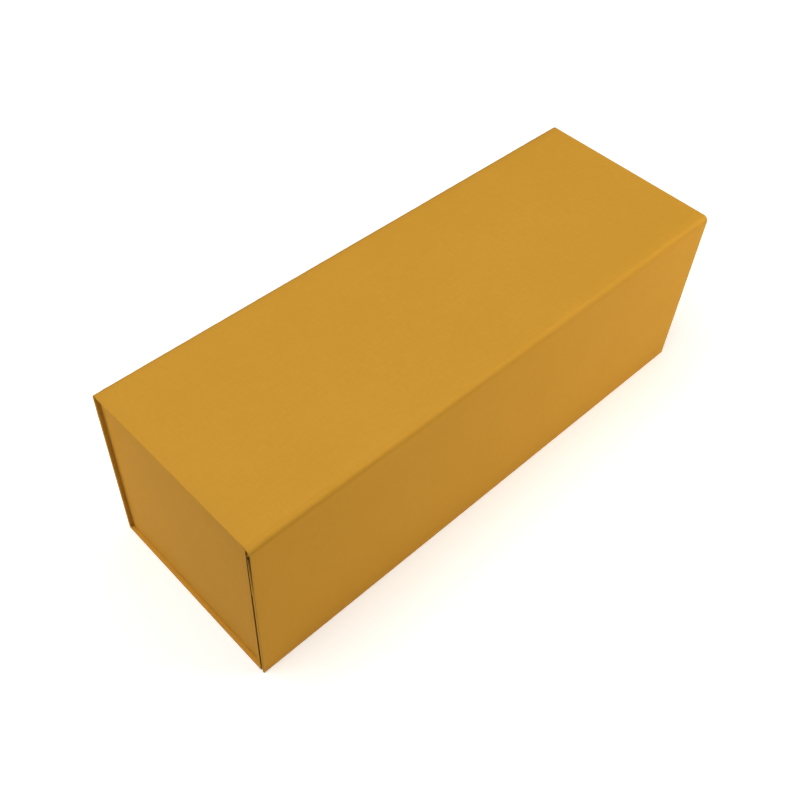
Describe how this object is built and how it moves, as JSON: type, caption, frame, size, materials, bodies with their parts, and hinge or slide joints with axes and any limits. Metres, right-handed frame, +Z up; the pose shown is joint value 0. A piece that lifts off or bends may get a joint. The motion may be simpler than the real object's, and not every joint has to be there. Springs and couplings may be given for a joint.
{
  "type": "magnetic gift box",
  "caption": "Long rigid gift box of paper-covered greyboard, with a hinged lid whose front flap closes on magnets over the front wall.",
  "frame": {"origin": "middle of the footprint, on the underside that the box stands on", "axes": "+X along the box's length, -Y towards the closing flap and +Y towards the spine, +Z up through the lid"},
  "size_m": [0.34, 0.12, 0.115],
  "materials": {
    "wrap_paper": "matte",
    "lining_paper": "matte",
    "greyboard": "matte",
    "magnet": "satin"
  },
  "bodies": {
    "box": {"base_board": "greyboard", "spine_board": "greyboard", "front_board": "greyboard", "end_board_left": "greyboard", "end_board_right": "greyboard", "wrap_box": "wrap_paper", "wrap_end_left": "wrap_paper", "wrap_end_right": "wrap_paper", "liner_box": "lining_paper", "wall_magnet_left": "magnet", "wall_magnet_right": "magnet"},
    "lid": {"lid_board": "greyboard", "wrap_lid": "wrap_paper", "liner_lid": "lining_paper"},
    "flap": {"flap_board": "greyboard", "wrap_flap": "wrap_paper", "liner_flap": "lining_paper", "flap_magnet_left": "magnet", "flap_magnet_right": "magnet"}
  },
  "joints": [
    {"name": "lid_hinge", "type": "hinge", "parent": "box", "child": "lid", "pos_m": [0, 0.05927, 0.11427], "axis": [-1, 0, 0], "range_deg": [0, 180]},
    {"name": "flap_hinge", "type": "hinge", "parent": "lid", "child": "flap", "pos_m": [0, -0.05897, 0.11398], "axis": [-1, 0, 0], "range_deg": [0, 120]}
  ]
}
